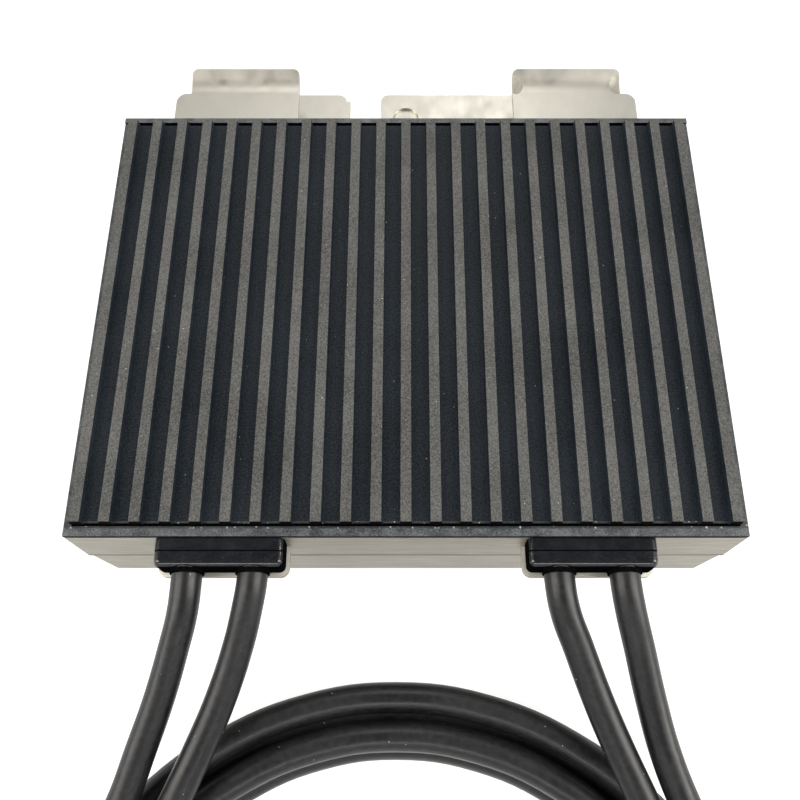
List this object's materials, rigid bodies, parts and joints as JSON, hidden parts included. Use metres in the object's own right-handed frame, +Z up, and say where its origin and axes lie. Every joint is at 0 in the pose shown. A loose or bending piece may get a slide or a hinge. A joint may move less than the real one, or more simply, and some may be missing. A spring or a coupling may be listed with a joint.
{
  "type": "power optimizer",
  "caption": "Module-level power optimizer: flat metal case under a finned black heat sink, folded frame clips behind, cable leads with connectors in front, output leads coiled",
  "frame": {"origin": "middle of the case's flat bottom face", "axes": "+Z up through the fins, -Y towards the cable glands, +Y towards the frame clips, +X to the right as seen from the cable side"},
  "size_m": [0.1583, 0.3649, 0.0346],
  "materials": {
    "heat_sink_paint": "black, fine-grained, satin",
    "case_aluminium": "brushed, warm silver",
    "gland_plastic": "moulded, glossy black",
    "seal_rubber": "matte black",
    "clip_steel": "rolled stainless sheet, soft silver",
    "fastener_steel": "bright zinc",
    "board_laminate": "green solder mask",
    "ferrite": "dark, sintered",
    "copper_wire": "lacquered copper",
    "part_resin": "moulded black resin",
    "capacitor_sleeve": "dark shrink sleeve",
    "pad_silicone": "soft silicone",
    "terminal_brass": "plain brass",
    "cable_jacket": "extruded black jacket, half gloss",
    "connector_plastic": "moulded black",
    "contact_tin": "tinned copper",
    "strap_fabric": "woven hook-and-loop strap"
  },
  "bodies": {
    "root": {"heat_sink_cover": "heat_sink_paint", "cover_gasket": "seal_rubber", "tray_gasket": "seal_rubber", "connector_seals": "seal_rubber", "housing_frame": "case_aluminium", "base_tray": "case_aluminium", "gland_left": "gland_plastic", "gland_right": "gland_plastic", "clip_left": "clip_steel", "clip_right": "clip_steel", "clip_rivets": "fastener_steel", "case_screws": "fastener_steel", "board_screws": "fastener_steel", "circuit_board": "board_laminate", "inductor_core": "ferrite", "comms_transformer": "ferrite", "inductor_winding": "copper_wire", "input_capacitors": "capacitor_sleeve", "output_capacitors": "capacitor_sleeve", "switch_transistors": "part_resin", "controller_chip": "part_resin", "thermal_pad": "pad_silicone", "lead_terminals": "terminal_brass", "lead_ends": "cable_jacket", "input_cable_1": "cable_jacket", "input_cable_2": "cable_jacket", "output_cable_1": "cable_jacket", "output_cable_2": "cable_jacket", "cable_coil": "cable_jacket", "output_tail_1": "cable_jacket", "output_tail_2": "cable_jacket", "coil_tie": "strap_fabric", "input_nut_1": "connector_plastic", "input_nut_2": "connector_plastic", "output_nut_1": "connector_plastic", "output_nut_2": "connector_plastic", "input_socket": "connector_plastic", "input_plug": "connector_plastic", "output_socket": "connector_plastic", "output_plug": "connector_plastic", "input_pin": "contact_tin", "input_sleeve": "contact_tin", "output_pin": "contact_tin", "output_sleeve": "contact_tin"}
  },
  "joints": []
}
